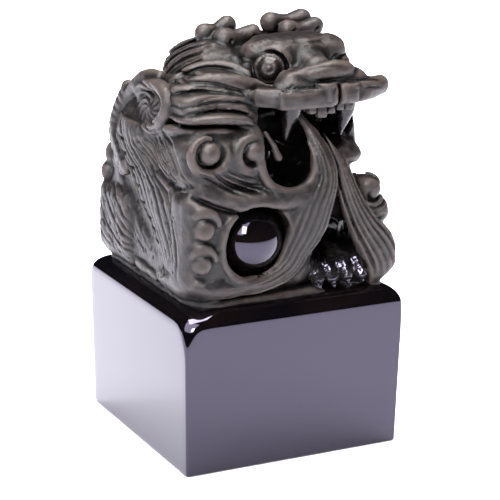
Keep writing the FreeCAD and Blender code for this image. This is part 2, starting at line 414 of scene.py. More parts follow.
def without_crumbs(verts, quads, least):
    """Leaves out loose bits with few faces."""
    label = np.arange(len(verts))
    while True:
        low = label[quads].min(axis=1)
        new = label.copy()
        for i in range(4):
            np.minimum.at(new, quads[:, i], low)
        new = new[new]
        if (new == label).all():
            break
        label = new
    names, counts = np.unique(label[quads[:, 0]], return_counts=True)
    keep = np.isin(label[quads[:, 0]], names[counts >= least])
    quads = quads[keep]
    used, fresh = np.unique(quads, return_inverse=True)
    return verts[used], fresh.reshape(quads.shape)


def thinned(verts, quads, deep):
    """Keeps one vertex per coarse cell of those deep inside, where nothing is seen, and the faces left.
    A face that loses one side becomes a triangle."""
    ids = np.nonzero(deep)[0]
    if len(ids):
        cells = np.floor(verts[ids] / THIN_CELL).astype(int)
        first, cell = np.unique(cells, axis=0, return_index=True, return_inverse=True)[1:]
        keep = np.arange(len(verts))
        keep[ids] = ids[first[cell.ravel()]]
        quads = keep[quads]
    a, b, c, d = quads.T
    sides = (a == b).astype(int) + (b == c) + (c == d) + (d == a)
    crossed = (a == c) | (b == d)
    four = quads[(sides == 0) & ~crossed]
    a, b, c, d = quads[(sides == 1) & ~crossed].T
    early = (a == b) | (b == c)
    three = np.stack([np.where(a == b, b, a), np.where(early, c, b), np.where(early, d, c)], axis=1)
    used, fresh = np.unique(np.concatenate([four.ravel(), three.ravel()]), return_inverse=True)
    fresh = fresh.ravel()
    n = four.size
    return verts[used], fresh[:n].reshape(-1, 4).tolist() + fresh[n:].reshape(-1, 3).tolist()


def blur(a, reach):
    """The mean over a cube that reaches so many steps each way."""
    for axis in range(3):
        pad = [(0, 0)] * 3
        pad[axis] = (reach + 1, reach)
        total = np.cumsum(np.pad(a, pad, mode="edge"), axis=axis, dtype=np.float32)
        n = a.shape[axis]
        a = (np.take(total, range(2 * reach + 1, 2 * reach + 1 + n), axis)
            - np.take(total, range(0, n), axis)) / (2 * reach + 1)
    return a


def sample(a, at):
    """Values of a grid at fractional positions."""
    at = np.clip(at, 0, np.array(a.shape) - 1.001)
    low = at.astype(int)
    t = at - low
    out = 0
    for c in CORNERS:
        weight = np.prod([t[:, i] if c[i] else 1 - t[:, i] for i in range(3)], axis=0)
        out = out + weight * a[tuple((low + c).T)]
    return out


def placed(name, data):
    """A new object in the scene."""
    thing = bpy.data.objects.new(name, data)
    bpy.context.scene.collection.objects.link(thing)
    return thing


def make_object(name, verts, faces):
    """A mesh piece from design millimetres, which takes the place of the CAD node of its name."""
    mesh = bpy.data.meshes.new(name)
    verts = np.asarray(verts, float) * UNIT
    mesh.from_pydata(verts.tolist(), [], [[int(i) for i in face] for face in faces])
    mesh.validate()
    mesh.update()
    mesh.polygons.foreach_set("use_smooth", [True] * len(mesh.polygons))
    piece = placed("look_" + name, mesh)
    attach(piece, "root")
    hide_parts(name)
    return piece


# ---- the sculpture
clay = Clay((-EDGE, -EDGE, BLOCK_TOP - CLAY_DEPTH), (EDGE, EDGE, CLAY_TOP), STEP)


def body():
    clay.member("ground", [brick((0, 0, BLOCK_TOP - 3.6), (27.2, 27.2, 5.2), 3)])
    clay.member("torso", [brick((-1, 2, 60), (26, 26, 20), 9), egg((-12, 8, 78), (17, 21, 13.5)),
            egg((5, 10, 88), (20, 17, 13.5)), egg((12, 7, 78), (13.5, 18, 14))],
        blend=4)
    clay.carve(brick((23, -23, 57), (14, 15.5, 16), 5), 3)
    clay.member("chest", [brick((-10.5, -16.4, 57), (17, 10.6, 13), 5)], join=2)


def haunches():
    for side, name, band in ((-1, "right", below(-19)), (1, "left", above(19))):
        rng = np.random.default_rng(5)
        fur = comb([(30, 58), (27.5, 50.5), (18, 46.5), (4, 45.5)],
            [(19, 66.5), (11, 63.5), (5, 57.5), (-3, 50)], 9, 0, band, 0.34, 0.5)
        for i in range(110):
            y, z = rng.uniform(3, 29), rng.uniform(46, 66)
            length = rng.uniform(1.2, 3.2)
            lean = rng.choice([0.25, 0.9])
            fur.append(flat([(y, z), (y - lean * length, z - length)], 0, band, rng.uniform(0.18, 0.3),
                rng.uniform(0.2, 0.5)))
        clay.member("haunch_" + name, [egg((side * 18.5, 17.5, 55.5), (10.8, 12.2, 13)),
                brick((side * 18.9, 18.7, 53), (10.3, 10.7, 10.5), 4),
                egg((side * 20.5, 4, 53), (7.4, 10, 9)), egg((side * 24.2, 26.4, 69.6), (3, 2.9, 3.4)),
                egg((side * 25.2, 27.2, 64.6), (3, 2.4, 3))],
            blend=1.2, join=1, marks=fur)
        clay.member("hind_paw_" + name,
            [egg((side * 25, 3, 45.2), (3.2, 6.4, 2.8)), egg((side * 25.6, -3, 44.8), (2.6, 3.2, 2.2))],
            blend=0.8, join=0.5)


def whirl(y, z, band):
    """Grooves of a lock of hair that curls in on itself at the shoulder."""
    marks = []
    for i in range(9):
        turn = math.radians(40 * i + 15)
        line = []
        for t in np.linspace(0, 1, 6):
            reach = 7.6 * (1 - t) ** 0.8 + 0.4
            at = turn + 1.9 * t
            line.append((y + 1.25 * reach * math.cos(at), z + 0.82 * reach * math.sin(at)))
        marks.append(flat(line, 0, band, 0.38, 0.62))
    return marks


def shoulders():
    rim = bend([(-25.2, 9, 89.6, 1.4), (-25.6, 3, 92, 1.6), (-25.8, -4.4, 93.2, 1.7),
        (-26.2, -10.4, 91.6, 1.8), (-26.8, -11.6, 88.6, 1.8), (-27.2, -8.8, 85.2, 1.7),
        (-27.2, -3.4, 82.6, 1.5), (-27, 1.6, 81.6, 1.3)])
    outer = bend([(-24, -1.5, 95, 1.4), (-24.2, 4.8, 94, 1.8), (-24.4, 10.5, 91.4, 1.9),
        (-24.6, 15.6, 87.4, 1.8), (-24.8, 18, 83.6, 1.6)])
    clay.member("shoulder_scroll_right", [egg((-18.5, 1.5, 85), (8.6, 13.5, 9.4)), tube(rim), tube(outer)],
        blend=1.6, join=0.8, marks=whirl(-0.4, 87, below(-18)))
    clay.member("shoulder_scroll_left", [egg((19.5, 1.5, 83), (8, 12.5, 9.4))], blend=1.6, join=0.8,
        marks=whirl(1.5, 84, above(18)))


def right_side():
    shaft = bend([(-22.6, 6, 82, 7.2), (-23, 6.8, 75, 8.2), (-23.6, 1.3, 70, 8.8), (-24.2, -5.5, 65.5, 8.8),
        (-24.8, -10.5, 61, 8), (-25.2, -14, 55.5, 7), (-25.4, -17, 48, 5.4)])
    clay.carve(tube(bend([(-29.5, 17.5, 73, 2.6), (-29.5, 13, 66.5, 3), (-29.5, 7.4, 61.5, 3),
            (-29.5, 1, 57.6, 2.8), (-29.5, -5.6, 52.6, 2.4), (-29.5, -9, 48.5, 1.6)])),
        1.2)
    clay.member("foreleg_right", [tube(shaft, (2.1, 1, 1))], join=0.9)
    tufts = []
    line = bend([(-24.6, 17.2, 88), (-25.4, 19.6, 84), (-26, 21.2, 80), (-26.2, 20.6, 76),
            (-26.6, 17, 72.6), (-27, 13, 69.4)],
        2)
    for i, at in enumerate(line):
        tip = at + (-0.5, 4.6 - 0.2 * i, -3.4 + 0.1 * i)
        tufts.append(tube([(*at, 2.6), (*(0.5 * at + 0.5 * tip), 1.7), (*tip, 0.2)], (1.3, 1, 1)))
    clay.member("leg_fringe", tufts, blend=0.2, join=0.3)
    clay.member("forepaw_right",
        [egg((-25, -14.5, 46.2), (4, 9.6, 4)), egg((-25.6, -21, 45.2), (2.8, 4.6, 2.6))], blend=1.5,
        join=0.7, marks=paw_cuts())
    claws = []
    for i in range(3):
        claws += tube([(-27.2 + 2 * i, -24, 45.4, 1.1), (-27.6 + 2.1 * i, -27, 43.6, 0.5)])
    clay.member("claws_right", [claws], join=0.2)
    clay.member("mane_lock", [egg((-21.5, -11.5, 77), (6.3, 13.2, 9.2)), egg((-22, -19, 73), (5, 7, 5))],
        blend=3, join=1.2)


def near_side_lines():
    """Hair on the near foreleg and on the locks between shoulder and cheek."""
    marks = comb([(-9.7, 82.4), (-15, 80.8), (-18.6, 77.6), (-22.6, 73.4), (-25, 72)],
        [(4.5, 78.2), (-1.6, 73.6), (-9.5, 71.2), (-17, 69.6)], 10, 0, below(-19.5), 0.5, 1.1)
    marks += comb([(17.5, 85), (17, 79), (12, 72), (7, 67.4), (2.4, 61.6), (-5.4, 56.8), (-11.4, 49)],
        [(2.5, 79), (-0.5, 74.5), (-7, 70.5), (-14.5, 67), (-19, 61), (-21, 55), (-21.5, 48)], 7, 0,
        below(-19.5), 0.42, 0.6)
    nicks = ((9.4, 70), (6, 66), (3.2, 62.2), (-0.6, 59.2), (-3.8, 57), (-6.6, 54.6), (12.2, 73.2),
        (12.6, 77))
    for y, z in nicks:
        marks.append(flat([(y + 1.6, z + 0.5), (y - 1.2, z - 0.1), (y - 2.6, z + 0.9)], 0, below(-19.5),
            0.34, 1))
    rng = np.random.default_rng(8)
    for i in range(70):
        y, z = rng.uniform(-20, 12), rng.uniform(48, 80)
        marks.append(flat([(y, z), (y + rng.uniform(-1.2, 1.2), z - rng.uniform(0.6, 2.2))], 0,
            below(-19.5), 0.2, 0.4))
    return marks


def paw_cuts():
    """Short random cuts in the side of the near forepaw."""
    rng = np.random.default_rng(21)
    marks = []
    for i in range(26):
        y, z = rng.uniform(-15, -3), rng.uniform(43.5, 49)
        marks.append(flat([(y, z), (y + rng.uniform(-1.6, 1.6), z + rng.uniform(-1.6, 1.6))], 0, below(-19),
            0.3, rng.uniform(0.3, 0.8)))
    return marks


def mane():
    waves = comb([(3, 103), (10.5, 100), (17.5, 95.6), (20.5, 90.5), (17.5, 84.5)],
        [(-4, 97.5), (-1.5, 96), (2.5, 93.4), (3.5, 90.2), (2, 86.5)], 8, 0, below(-2), 0.6, 1.3)
    side = comb([(18, 96), (22, 90), (21, 82)], [(0, 97), (4, 90), (0, 84)], 6, 0, above(12), 0.5, 0.8)
    clay.member("mane_back", [egg((5, 9, 90), (18, 15.5, 12.4)), egg((-7.5, 6, 90.2), (10.5, 15.5, 11.8)),
            egg((5, 17, 84), (17.5, 9.5, 12))],
        blend=4, join=1, marks=waves + side)
    lines = grooves(1, below(-3), (0.42, 0.8,
            [(-26.8, 94.6), (-22.4, 95.6), (-17.6, 95.6), (-13.6, 94.4), (-8.2, 92.9), (-4.5, 93.4)]),
        (0.42, 0.8, [(-27.2, 92.4), (-22.4, 93.7), (-15.7, 93.3), (-9, 92)]),
        (0.42, 0.8, [(-27.5, 90.4), (-19.5, 91.5), (-12, 91.2), (-8.4, 90.2)]),
        (0.6, 1, [(-28, 88.2), (-19.9, 89.4), (-12.4, 88.7), (-8.6, 87)]),
        (0.85, 1.9, [(-30, 86), (-25.4, 85.9), (-21, 86.3), (-17, 86.2), (-12.5, 85.2), (-8, 84)]),
        (0.3, 0.5, [(-24.5, 87.7), (-18, 87.8), (-12.5, 86.8)]),
        (0.28, 0.4, [(-23, 94.8), (-17, 94.5), (-12, 93.3)]),
        (0.26, 0.4, [(-25, 91.6), (-19, 92.6), (-13, 92.2)]),
        (0.26, 0.4, [(-26, 89.2), (-20, 90.5), (-14, 90.1)]))
    sweep = bend([(-2.4, -17.8, 93.2, 2.2), (-7.5, -17.8, 93.8, 2.4), (-13, -17, 95, 2.4),
        (-19, -15.2, 95.2, 2.3), (-24.6, -12.6, 93.2, 1.7)])
    leaf = bend([(-7, -20.2, 86.2, 1.2), (-12.5, -22.2, 87, 2.5), (-18.5, -22.4, 87.4, 2.9),
        (-24, -19.5, 87, 2.5), (-27, -13, 84.6, 1.7)])
    clay.member("mane_right", [egg((-13, -9.5, 90), (12, 12, 7)),
            brick((-16.2, -14.6, 89.4), (10.6, 6.8, 4.8), 4), tube(sweep), tube(leaf)],
        blend=1.5, marks=lines)
    clay.member("mane_left", [egg((20, 0, 88), (5.4, 11, 9))], join=1.5, marks=side)
    clay.member("ear_right", [tube(bend([(-3.8, -8, 95.6, 1.6), (-6.2, -3.5, 97.6, 2.2),
                    (-8.6, 1.5, 98.8, 2.9), (-9.4, 6, 98.8, 2.8), (-9.8, 10.5, 97.8, 1.8),
                    (-10.2, 14, 95.8, 0.6)]),
                (1.25, 1, 1)),
            tube(bend([(-5, -13, 95.6, 1.2), (-8, -9.5, 96.6, 1.9), (-12, -6, 96.8, 2.1),
                (-17, -3.5, 95.6, 1.8), (-21.5, -1.5, 93, 0.9)]))],
        blend=0.3, join=0.35, marks=[flat([(-2, 97.4), (3, 99.4), (8.6, 99)], 0, below(-6.5), 1, 1.7),
            flat([(-6, 94.6), (-1, 96), (4, 95.8)], 0, below(-6.5), 0.4, 0.7),
            flat([(-20.5, 94.6), (-14, 97), (-8.5, 96.8)], 1, below(-3), 0.55, 1)])
    clay.member("ear_left", [tube(bend([(20.8, -8, 95.6, 1.6), (23, -3.5, 97.2, 2.2),
                (24.2, 1.5, 98.2, 2.7), (24.4, 6.5, 97.8, 2.6), (24.4, 11, 96.4, 1.5)]),
            (1.3, 1, 1))],
        join=0.4, marks=[flat([(-2, 97.4), (3, 98.6), (8.6, 97.4)], 0, above(22), 0.9, 1.3)])


def head():
    clay.member("cranium", [brick((HEAD_X, -9.5, 97.4), (11.4, 8.8, 7), 5.5),
            egg((6.5, 4, 92), (17, 15, 9.2)), egg((HEAD_X, -6, 95), (14.5, 12, 7.6))],
        blend=2.5, join=1.2)
    clay.member("muzzle", [brick((HEAD_X + 0.6, -18.8, 94.8), (11.4, 8, 3.2), 2.6),
            tube([(9, -12, 98.6, 5.6), (9.2, -20.5, 97.2, 3.9)]), egg((1.6, -24.2, 94.4), (6, 3.4, 2.3)),
            egg((16.2, -24.2, 94.4), (6.4, 3.4, 2.4)),
            tube([(16.5, -17.5, 98, 1.7), (19, -16.5, 97.4, 1.2)])],
        blend=1.6, join=1, marks=whiskers())
    clay.member("cheek_right",
        [brick((-16.2, -15.4, 77), (11.4, 10.6, 8.2), 6), egg((-10.2, -16.5, 78), (4.6, 9.6, 9.4))],
        blend=2.5, join=1.6)
    clay.member("cheek_left", [egg((20.6, -9, 79.2), (4.6, 8, 11.2))], join=1.2,
        marks=comb([(-16, 86), (-12, 78), (-14, 70)], [(-4, 88), (-3, 79), (-6, 70)], 4, 0, above(18), 0.45,
            0.7))
    clay.member("throat", [brick((6, -1, 80), (17, 5, 12), 3)], join=1)
    chin = bend([(-26.8, -20.5, 73.4, 1.6), (-22.5, -24.4, 70.6, 2.2), (-16, -25.8, 68.4, 2.5),
        (-7, -26.4, 67.4, 2.7), (2, -26.4, 67.4, 2.6), (8.5, -25, 69.4, 2.5), (14, -21.5, 70.5, 2.6),
        (20.5, -14.5, 72, 2.2)])
    clay.member("lower_jaw",
        [tube(chin), egg((-1, -17.5, 70.2), (13.5, 9.5, 5)), brick((7, -14, 68.5), (13, 8, 4), 3)],
        blend=2.2, join=1.8)


def whiskers():
    """Slanting cuts on the pads over the lip, on both sides of the middle."""
    cuts = []
    for i in range(6):
        x = -1.6 + 1.2 * i
        line = [(x + 1.4, 95.6 - 0.1 * i), (x + 0.3, 94.9 - 0.1 * i), (x - 1, 93.9 - 0.08 * i)]
        cuts.append(flat(line, 1, below(-22), 0.28, 0.7))
    for i in range(4):
        z = 95.4 - 0.75 * i
        cuts.append(flat([(13.4 + 0.9 * i, z), (18, z + 0.1), (22.5, z - 0.4)], 1, below(-20), 0.26, 0.55))
    return cuts


def mouth():
    hollows = ((-0.6, -20.5, 77.2), (7.6, 13.5, 8.6)), ((6.8, -17.5, 83.8), (15.6, 13, 7.4))
    for middle, radii in hollows:
        clay.carve(egg(middle, radii), 0.6, gloss=True)
    clay.carve(tube([(-11, -18.5, 88.6, 1.2), (-7, -18, 87.2, 2.2), (0, -18, 85, 3.4)]), 0.6, gloss=True)
    rng = np.random.default_rng(31)
    for middle, radii in hollows:
        for i in range(46):
            out = rng.normal(size=3) * (1, 0.8, 1)
            out[1] = abs(out[1]) - 0.35
            out /= np.linalg.norm(out)
            r = rng.uniform(1.4, 3.2)
            at = np.array(middle) + out * radii - out * (r - rng.uniform(0.3, 0.9))
            clay.carve(egg(at, [r] * 3), 0.15, gloss=True)
    clay.carve(egg(BALL_AT + (0, -5.5, 0), (9.6, 9, 9.6)), 0.8)
    clay.carve(egg(BALL_AT, [BALL_R + 1] * 3), 0.4)
    for centre, r in (((-22, -28, 80.2), 5), ((-10.2, -27.8, 79.6), 4)):
        clay.carve(egg(centre, (r, 4.8, r)), 0.6)
    rim = bend([(-8.8, -23, 84.6, 0.8), (-8.8, -25.6, 80.6, 1), (-8.6, -26.4, 75.8, 1.1),
        (-6.3, -27, 71.4, 1.1), (-1.6, -27.4, 69.2, 1.1), (3.6, -27.2, 69.9, 1.1), (6, -26.6, 73.6, 1),
        (6.6, -25.6, 77, 0.7)])
    clay.member("jaw_floor", [tube(rim)], join=1.3)


def lips():
    near = bend([(-9.6, -19.6, 92.4, 1.2), (-6.6, -23, 92.4, 1.9), (-3, -25.7, 92.2, 2.4),
        (2.4, -27.1, 92, 2.5), (8.8, -27.3, 92.3, 2.5)])
    far = bend([(10, -27.2, 92.3, 2.5), (15, -27, 92.7, 2.8), (20, -26, 92.9, 2.9), (25, -24, 93.1, 2.5)])
    clay.member("upper_lip", [tube(near, (1, 1.1, 1)), tube(far, (1, 1.1, 1)),
            brick((3, -25, 92), (7, 3.6, 2.3), 0.3, tilt("Z", -6)),
            brick((-5, -23, 92.2), (3.2, 2.4, 2.1), 0.3, tilt("Z", -40))],
        blend=0.5, join=0.5, marks=[flat([(-5, 94.2), (0, 93.9), (6, 93.9)], 1, below(-20), 0.25, 0.35)]
            + comb([(13.5, 95), (19, 95.4), (24, 94.6)], [(14.5, 93.4), (19, 93.8), (24.5, 93.2)], 3, 1,
                below(-19), 0.24, 0.4))
    for x, y, turn in ((14, -31.5, 4), (20, -31, 16)):
        clay.carve(brick((x, y, 92), (3.9, 1.9, 4), 0.1, tilt("Z", -turn)), 0.5, only="upper_lip")
    clay.member("lip_tooth", [brick((8.4, -27.4, 93.2), (2.3, 2.1, 2.4), 0.25, tilt("Z", 38))], blend=0.2,
        join=0.15)
    clay.carve(brick((11.3, -28.6, 92.6), (0.55, 2.2, 2.6), 0.3), 0.3)
    teeth = []
    for x, w, h in ((5, 1, 0.9), (7.6, 1.2, 1.5), (10.2, 0.9, 1.1), (12.6, 1, 0.8), (15, 1, 0.9)):
        teeth.append(brick((x, -26.2, 89.8 - h), (w, 0.9, h), 0.25, tilt("Y", 5 * (x - 9) / 6)))
    clay.member("incisors", teeth, blend=0.1, join=0.1)
    for x, name in ((1.2, "right"), (16.6, "left")):
        fang = bend([(x, -22.8, 90.5, 2.6), (x, -22.4, 87.6, 2.2), (x - 0.4, -22, 84.6, 1.4),
            (x - 0.9, -21.6, 81, 0.5)])
        clay.member("upper_fang_" + name, [tube(fang)], join=0.3, gloss=True)
    clay.member("lower_fang_right",
        [tube([(-3, -24.4, 77.4, 1), (-4.2, -24.2, 80.4, 0.8), (-6.2, -23.6, 83.6, 0.3)])], join=0.3)
    clay.member("lower_fang_left",
        [tube([(19, -17.5, 74.5, 1.5), (18.6, -18, 78, 1), (18.2, -18.4, 81, 0.35)])], join=0.4, gloss=True)


def mirror(rows):
    """The same rows on the other side of the head's middle plane."""
    out = np.array(rows, float)
    out[:, 0] = 2 * HEAD_X - out[:, 0]
    return out


def face():
    eyes = (("right", EYE_AT, EYE_LOOK), ("left", mirror([EYE_AT])[0], EYE_LOOK * (-1, 1, 1)))
    for name, at, look in eyes:
        clay.carve(egg(at + look * 2.4, [4.75] * 3), 0.4)
        clay.member("eye_" + name, [egg(at, [EYE_R] * 3)], join=0.1)
        u, v = plane(look)
        lid = []
        for t in np.radians(np.linspace(-35, 225, 22)):
            lid.append((*(at - look * 0.9 + (u * math.cos(t) + v * math.sin(t)) * 5.7), 1.5))
        ticks = []
        for t in np.radians(np.linspace(-20, 210, 22)):
            d = u * math.cos(t) + v * math.sin(t)
            a, b = at + d * 5, at + d * 7.4
            ticks.append(flat([(a[0], a[2]), (b[0], b[2])], 1, below(-6), 0.2, 0.3, taper=False))
        clay.member("eyelid_" + name, [tube(lid)], marks=ticks)
        eye_rings(name, at, look)
    clay.member("brow", [egg((16.6, -13, 101.2), (3.9, 4.8, 3.1)), egg((-1.4, -9, 100.8), (3.8, 4.6, 2.4)),
            tube([(-1.4, -9.4, 101, 2), (9, -14.5, 101.4, 2.9), (16.6, -13, 101.4, 2.6)])],
        blend=2.2, join=1.4, marks=[flat([(2, 103.2), (7.5, 103.6), (12.6, 103.4), (13.2, 102.2)], 1,
                below(-8), 0.22, 0.5),
            flat([(15, 98.8), (18, 99.6), (21, 99.2)], 1, below(-8), 0.5, 0.9)])
    nose = bend([(0.2, -24, 96.8, 1.3), (3.4, -25, 97.3, 1.9), (7, -25.8, 97.9, 2.2), (11, -26, 98.4, 2.3),
        (14.2, -25.4, 98, 2.2), (16.4, -23.8, 97.2, 1.7)])
    curls = tube(coil((0.6, -25.2, 96), (-0.3, -0.95, 0.1), 1.6, 0.4, 1.2, 0.7, 0.45, first=60, steps=14))
    clay.member("nose", [tube(nose), curls], blend=0.5, join=0.4,
        marks=[flat([(3, 98.6), (8, 99.4), (13, 99.2)], 1, below(-20), 0.25, 0.25)])
    horns = {"right": ([(-8, 7, 103.2, 2.7), (-5, 7, 103.6, 2), (-2, 7, 104.8, 2.6)],
            [(-5, 2, 102.2, 2.9), (-1.4, 1.8, 102.6, 2.2), (2.4, 1.6, 103.2, 2.5)]),
        "left": ([(10.6, 7, 104.6, 2.8), (15, 7, 104.4, 2.2), (19.4, 7, 105, 2.7)],
            [(13, 2, 103.6, 2.6), (16.4, 1.8, 103.3, 2.1), (20.4, 1.6, 104, 2.4)])}
    for name, (back, front) in horns.items():
        stems = tube([(back[1][0], 6, 101, 3.4), (front[1][0], 2.5, 100.5, 3.2)])
        pits = [flat([(x - 0.4, z + 0.2), (x + 0.5, z - 0.5)], 1, below(1), 0.6, 0.9)
            for x, z in ((front[0][0] + 0.6, front[0][2]), (front[2][0] - 0.4, front[2][2] - 0.2))]
        clay.member("horn_" + name, [tube(bend(back)), tube(bend(front)), stems], blend=0.9, join=0.7,
            marks=pits)


def eye_rings(name, at, look):
    """A rim, the iris and the pupil's ring and dot, cut into an eyeball."""
    w, own = clay.members["eye_" + name]
    x, y, z = clay.axes(w)
    out = (x - at[0]) * look[0] + (y - at[1]) * look[1] + (z - at[2]) * look[2]
    r = np.sqrt(np.maximum((x - at[0]) ** 2 + (y - at[1]) ** 2 + (z - at[2]) ** 2 - out ** 2, 0))
    cut = np.zeros_like(own)
    rings = (3.5, 0.28, -0.45), (2.6, 0.65, 0.6), (1.5, 0.22, -0.45), (0.98, 0.22, 0.5), (0, 0.4, -0.6)
    for radius, width, depth in rings:
        cut += depth * np.exp(-((r - radius) / width) ** 2)
    own += np.where(out > 0, cut, 0).astype(np.float32)
    iris = (out > 0) & (own < 1.2) & (r > 1.9) & (r < 3.05)
    clay.bare[w] = np.maximum(clay.bare[w], np.where(iris, 0.7, 0))
    clay.whole[w] = np.minimum(np.where(out > 0, np.maximum(clay.whole[w], cut - 2), clay.whole[w]), own)


def hook(centre, r, growth, turn, count, thin, swell):
    """A rod that curls round a centre square to Y, growing in X and Z, thickest halfway."""
    rows = []
    for i, t in enumerate(np.radians(np.linspace(*turn, count))):
        rows.append((centre[0] + (r + growth[0] * i) * math.cos(t), centre[1],
            centre[2] + (r + growth[1] * i) * math.sin(t),
            thin + swell * math.sin(math.pi * i / (count - 1))))
    return tube(rows)


def ribbons():
    loop = bend([(4.8, -20.5, 86, 0.8), (6.4, -23.8, 82, 1.9), (8.2, -26.2, 77, 2.6), (8.9, -27, 71.4, 3.2),
        (6.4, -27, 65.4, 4.6), (4.2, -26.6, 59.6, 4.8), (1.6, -26.4, 54.6, 3.9), (-1.4, -26.6, 50, 3.2),
        (-7, -26.8, 47.2, 2.5), (-15.4, -26.8, 46.2, 2.4), (-25.6, -26, 46.8, 2.4)])
    clay.member("ribbon_loop", [tube(loop, (1, 1.5, 1))], join=1.2,
        marks=strands(loop, (-0.72, -0.45, -0.1, 0.3, 0.62), 1, below(-19.5), 0.3, 0.6))
    tail = bend([(9.8, -22, 83, 0.6), (11.2, -24.6, 79.6, 1.4), (13, -26, 75, 2), (14.8, -26.4, 70, 2.5),
        (17.2, -26.4, 64, 3.1), (20.2, -26.2, 58.4, 4), (24, -25.8, 53, 5), (26, -25.4, 48.6, 5),
        (26.4, -25, 44.6, 4.2)])
    clay.member("ribbon_tail", [tube(tail, (1, 1.15, 1)), egg((25.5, -20.5, 49), (4.4, 6, 6))], join=0.5,
        marks=strands(tail, (-0.7, -0.4, -0.05, 0.3, 0.65), 1, below(-19.5), 0.36, 0.9))
    swirl = grooves(1, below(-14), (0.4, 0.7, [(20.2, 66.6), (21.2, 69), (24.2, 69.6), (26.8, 67.4),
                (26.6, 64.6), (24.2, 63.6), (22.6, 65.2), (23.6, 66.8)]),
        (0.45, 0.9, [(18.8, 63.8), (22, 61.6), (26, 62.2), (29, 63.6)]),
        (0.35, 0.6, [(21, 60), (24, 59), (27, 60)]))
    clay.member("ribbon_curl_upper", [egg((24, -20.8, 66.4), (3.9, 4.4, 3.9)),
            egg((25.2, -20.8, 60.6), (4.9, 5, 4.5)), egg((22, -19, 63), (4, 4, 7))],
        blend=0.6, join=0.5, marks=swirl)
    clay.member("ribbon_curl_lower",
        [egg((26.4, -19.8, 54), (3.9, 5.6, 5)), egg((25.4, -14.5, 55), (4, 5.5, 10))], blend=0.8, join=0.5,
        marks=comb([(-24, 58), (-20, 54), (-20, 48)], [(-14, 60), (-11, 54), (-12, 47)], 4, 0, above(20),
            0.4, 0.6))
    curls = [hook((x, -28, z), r, (0.11, 0.11), (15, 262), 14, 0.5, 1.25)
        for x, z, r in ((-24.4, 62.2, 3.9), (-24.8, 53.6, 3.4))]
    rim = hook((BALL_AT[0], -27.4, BALL_AT[2]), BALL_R + 1.7, (0, 0), (120, 262), 16, 0.6, 0)
    clay.member("corner_scrolls", [brick((-24, -21.8, 57), (4.6, 5.2, 13.2), 3.2)] + curls + [rim],
        blend=1.3, join=2)
    clay.member("ribbon_bosses",
        [egg((-24.4, -27.2, 62.2), (2.8, 2.9, 2.8)), egg((-24.8, -27.2, 53.6), (2.5, 2.8, 2.5))], join=0.5)
    frames = [hook((x, -25.3, z), r, (0.2, 0.16), (80, last), 12, 0.35, 0.8)
        for x, z, r, last in ((-22.3, 80.4, 3.6, 335), (-10.4, 79.8, 3, 250))]
    clay.member("cheek_bosses",
        [egg((-22.3, -25.4, 80.4), (2.8, 2.9, 2.8)), egg((-10.4, -25, 79.8), (2.3, 2.5, 2.3))] + frames,
        blend=0.3, join=1.3)


def left_side():
    clay.member("foreleg_left", [tube(bend([(21, 0, 76, 5), (21, -6, 66, 5), (18.5, -11, 54, 4.4)]))],
        join=1, marks=comb([(4, 80), (-1, 70), (-6, 58)], [(-4, 80), (-9, 70), (-13, 58)], 4, 0, above(18),
            0.4, 0.5))
    toes = []
    for i in range(4):
        x = 9.4 + 4.2 * i
        toes.append(tube([(x + 1.5, -14.5, 49.2, 2.6), (x + 0.3, -20.4, 47.6, 2.3)]))
    clay.member("forepaw_left", [egg((17.4, -14.5, 48.4), (8.8, 6, 4.6))] + toes)
    rng = np.random.default_rng(33)
    for i in range(60):
        out = rng.normal(size=3) * (1.2, 0.8, 0.8)
        out[2], out[1] = abs(out[2]), -abs(out[1])
        out /= np.linalg.norm(out)
        r = rng.uniform(1.6, 3.6)
        at = np.array((16.4, -16, 47.6)) + out * (9.6, 7, 5.2) + out * (r - rng.uniform(0.5, 1.1))
        clay.carve(egg(at, [r] * 3), 0.12, gloss=True, only="forepaw_left")
    claws = []
    for i in range(4):
        x = 8.6 + 4.2 * i
        claws += tube([(x, -21.6, 47.2, 2.5), (x + 0.2, -24, 45, 1.9), (x + 0.3, -25, 42.9, 0.6)])
    clay.member("claws_left", [claws], join=0.2)
    clay.member("tail",
        [tube(bend([(0, 25.5, 50, 3.2), (9, 26, 47.8, 3.4), (17, 25.5, 51, 3.2), (18, 25.5, 58, 2.8)]))],
        join=0.4, marks=comb([(0, 52), (9, 50), (16, 53)], [(0, 47), (9, 45.5), (19, 50)], 4, 1, above(20),
            0.35, 0.5))
    curl = [flat([(15 + (5.6 - 0.62 * t) * math.cos(t), 65.5 + (5.6 - 0.62 * t) * math.sin(t))
            for t in np.linspace(-1.2, 7.6, 18)],
        1, above(18), 0.5, 0.9)]
    clay.member("tail_curl", [egg((15, 25, 65.5), (6.6, 4.2, 7)), egg((14, 24.5, 73.5), (3, 3, 4))],
        blend=1, marks=curl)


def back_lines():
    """Rows of snail curls over the mane's back, with locks of hair that hang below them."""
    marks = []
    for row, z in enumerate((90.5, 82.5, 74.5)):
        for i in range(6):
            x = -21 + 8.2 * i + 4.1 * (row % 2)
            marks.append(flat([(x + 3.5 * math.cos(t) * (1 - t / 9), z + 3.5 * math.sin(t) * (1 - t / 9))
                    for t in np.linspace(0.4, 7.6, 12)],
                1, above(13), 0.5, 1))
    for i in range(19):
        x = -25 + 2.7 * i
        if abs(x - 15) > 7.5:
            marks.append(flat([(x, 69.5), (x + 1.5, 65), (x - 0.8, 60), (x + 1, 54)], 1, above(14), 0.5, 1))
    return marks


